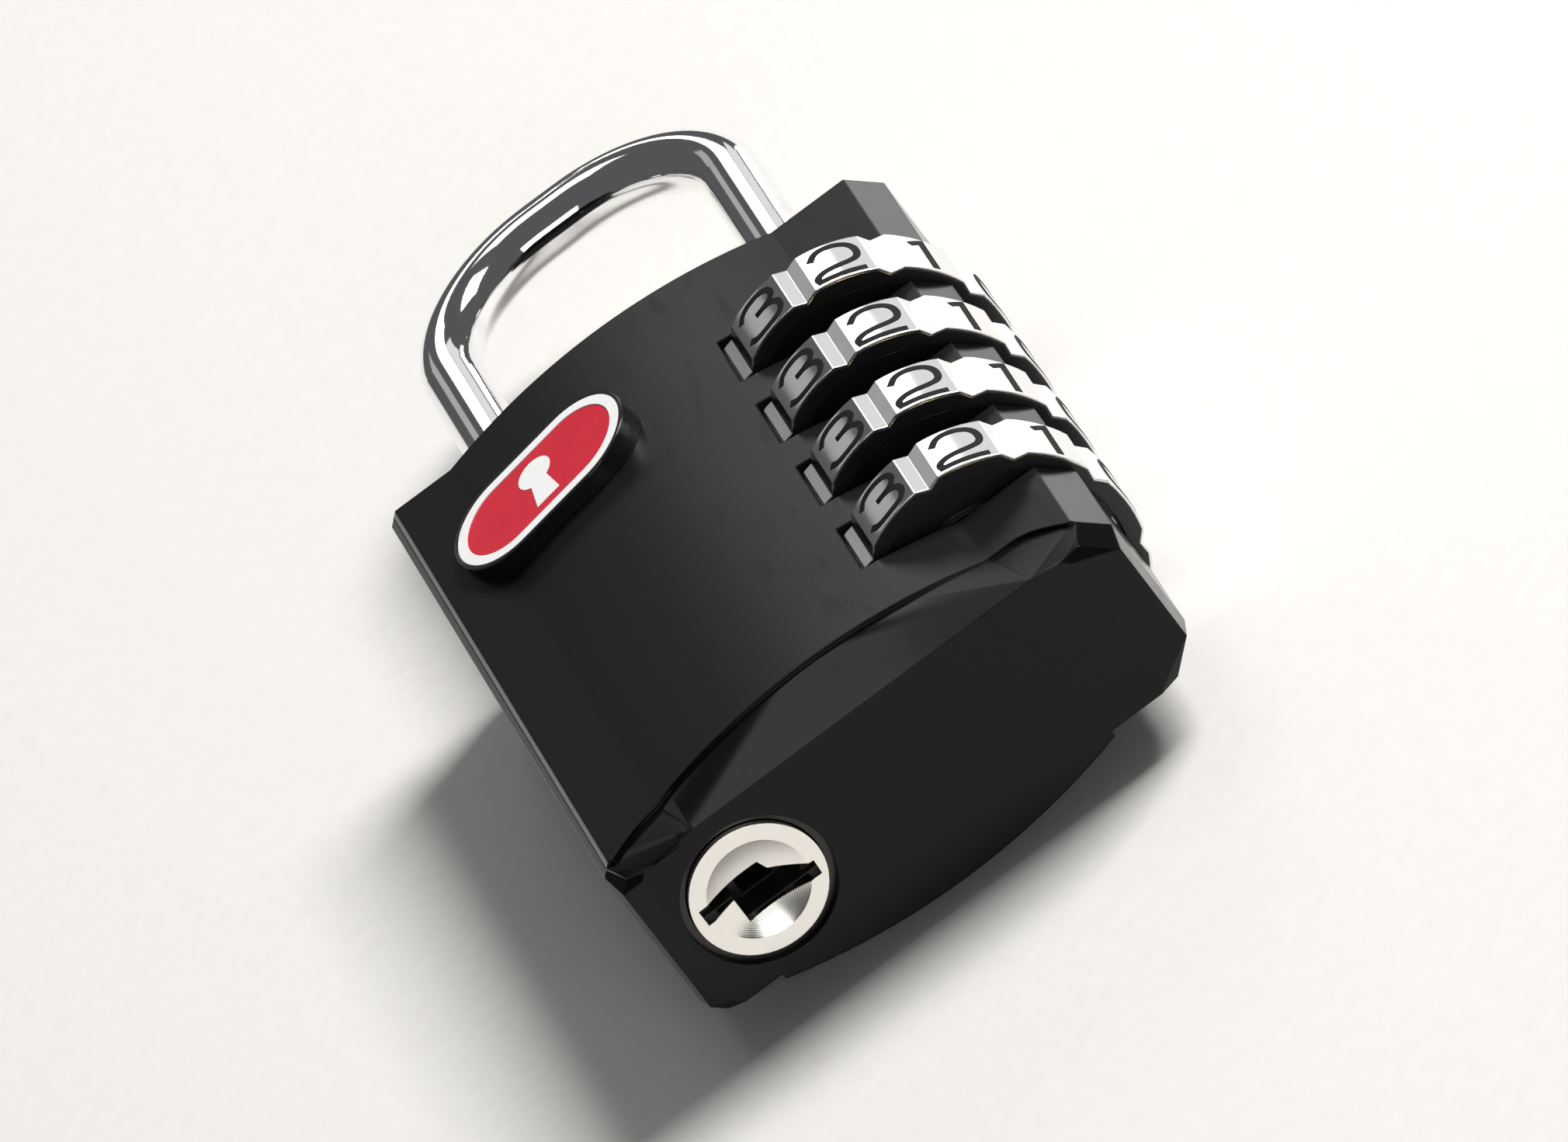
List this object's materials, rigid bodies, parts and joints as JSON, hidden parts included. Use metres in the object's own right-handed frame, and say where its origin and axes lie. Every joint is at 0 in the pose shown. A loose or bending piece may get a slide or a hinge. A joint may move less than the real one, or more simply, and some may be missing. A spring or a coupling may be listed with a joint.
{
  "type": "luggage combination padlock",
  "caption": "Small luggage padlock with a row of number dials at one side, a key plug in its end face and a chrome U-shaped shackle.",
  "frame": {"origin": "middle of the flat end face that holds the key plug, where the body ends opposite the shackle", "axes": "+X towards the dial side, +Y from the key end up along the shackle, +Z out of the front that carries the badge"},
  "size_m": [0.0342, 0.0756, 0.0168],
  "materials": {
    "black_body": "satin black coat over zinc die casting",
    "black_plastic": "gloss black",
    "white_print": "white enamel",
    "red_print": "red enamel",
    "chrome": "polished plating",
    "brass": "turned",
    "spring_steel": "plain bright"
  },
  "bodies": {
    "lock_body": {"body_shell": "black_body", "rear_cover": "black_body", "cover_pins": "spring_steel", "badge_plate": "black_plastic", "badge_border": "white_print", "badge_inlay": "red_print", "guide_bush": "black_plastic", "stack_washer": "spring_steel", "stack_spring": "spring_steel", "detent_spring": "spring_steel", "cylinder_shell": "brass", "shackle_spring": "spring_steel", "slide_spring": "spring_steel"},
    "shackle": {"shackle": "chrome", "shackle_clip": "spring_steel"},
    "dial_1": {"dial_wheel_1": "black_plastic", "dial_facets_1": "chrome", "code_sleeve_1": "brass"},
    "dial_2": {"dial_wheel_2": "black_plastic", "dial_facets_2": "chrome", "code_sleeve_2": "brass"},
    "dial_3": {"dial_wheel_3": "black_plastic", "dial_facets_3": "chrome", "code_sleeve_3": "brass"},
    "dial_4": {"dial_wheel_4": "black_plastic", "dial_facets_4": "chrome", "code_sleeve_4": "brass"},
    "key_plug": {"key_plug": "chrome", "key_wafers": "brass", "plug_cam": "spring_steel", "cam_clip": "spring_steel"},
    "release_slide": {"release_slide": "spring_steel"}
  },
  "joints": [
    {"name": "shackle_lift", "type": "slide", "parent": "lock_body", "child": "shackle", "axis": [0, 1, 0], "range_m": [0, 0.0044], "deforming": ["shackle_spring"]},
    {"name": "dial_1_turn", "type": "hinge", "parent": "lock_body", "child": "dial_1", "pos_m": [0.0095, 0.0122, 0], "axis": [0, 1, 0], "continuous": true, "deforming": ["detent_spring"]},
    {"name": "dial_2_turn", "type": "hinge", "parent": "lock_body", "child": "dial_2", "pos_m": [0.0095, 0.0204, 0], "axis": [0, 1, 0], "continuous": true, "deforming": ["detent_spring"]},
    {"name": "dial_3_turn", "type": "hinge", "parent": "lock_body", "child": "dial_3", "pos_m": [0.0095, 0.0286, 0], "axis": [0, 1, 0], "continuous": true, "deforming": ["detent_spring"]},
    {"name": "dial_4_turn", "type": "hinge", "parent": "lock_body", "child": "dial_4", "pos_m": [0.0095, 0.0368, 0], "axis": [0, 1, 0], "continuous": true, "deforming": ["detent_spring"]},
    {"name": "key_turn", "type": "hinge", "parent": "lock_body", "child": "key_plug", "pos_m": [-0.0102, 0.008, 0], "axis": [0, 1, 0], "range_deg": [0, 90]},
    {"name": "release_travel", "type": "slide", "parent": "lock_body", "child": "release_slide", "axis": [-1, 0, 0], "range_m": [0, 0.0014], "deforming": ["slide_spring"]}
  ],
  "couplings": [
    {"joint": "key_turn", "follows": "release_travel", "rad_per_m": 1122}
  ]
}
